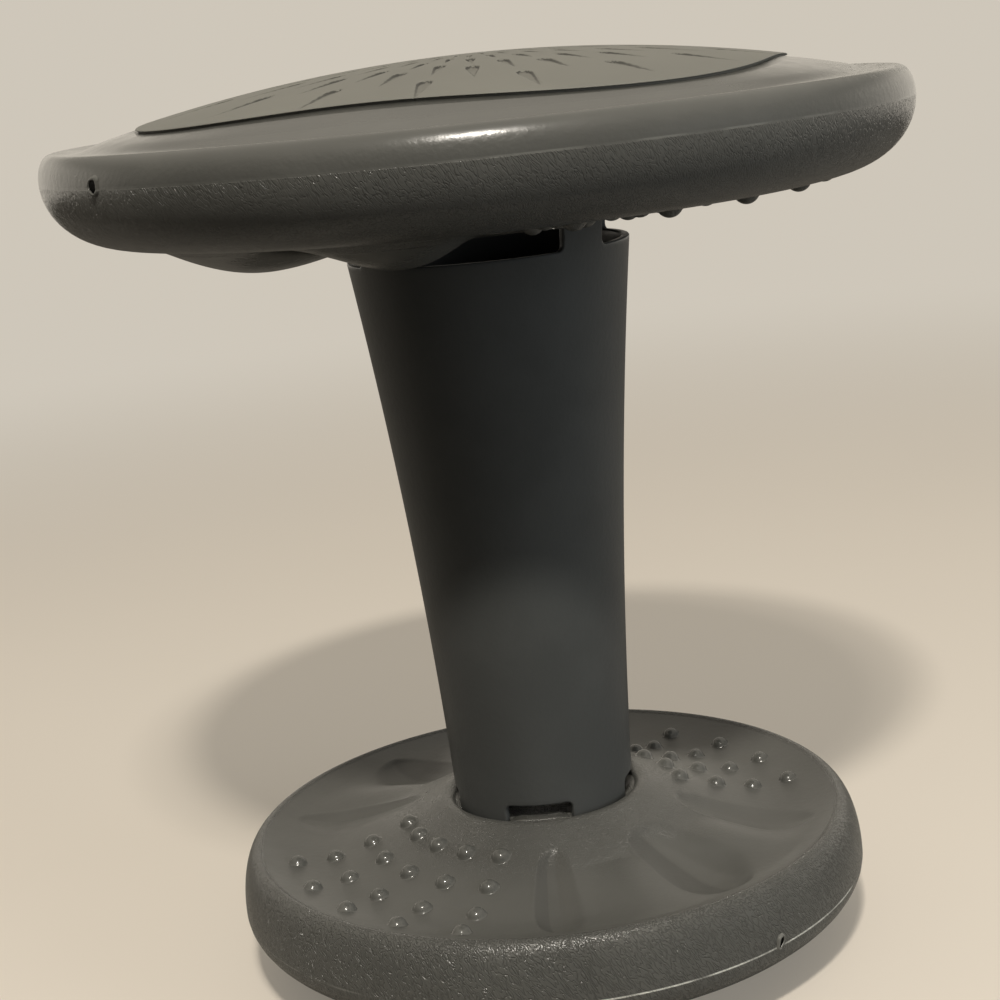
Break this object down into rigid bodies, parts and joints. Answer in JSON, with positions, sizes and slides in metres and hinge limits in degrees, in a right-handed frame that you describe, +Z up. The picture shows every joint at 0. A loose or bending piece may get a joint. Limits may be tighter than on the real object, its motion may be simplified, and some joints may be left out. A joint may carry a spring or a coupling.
{
  "type": "wobble stool",
  "caption": "Round wobble stool: a padded, domed seat disc on a flared hollow column, above a smaller disc that rocks on its domed underside.",
  "frame": {"origin": "middle of the rocking underside where it meets the floor, the centre of the bounding box's bottom", "axes": "+Z up along the column's axis from the base disc to the seat disc; +Y away from the viewer of the picture"},
  "size_m": [0.326, 0.326, 0.3557],
  "materials": {
    "shell_plastic": "mid-dark grey blow-moulded plastic, smooth and satin on top, fine moulded grain below",
    "pad_plastic": "matte, slightly warmer grey soft plastic with short incised strokes"
  },
  "bodies": {
    "root": {"base_shell": "shell_plastic", "base_pad": "pad_plastic", "column": "shell_plastic", "seat_shell": "shell_plastic", "seat_pad": "pad_plastic"}
  },
  "joints": []
}
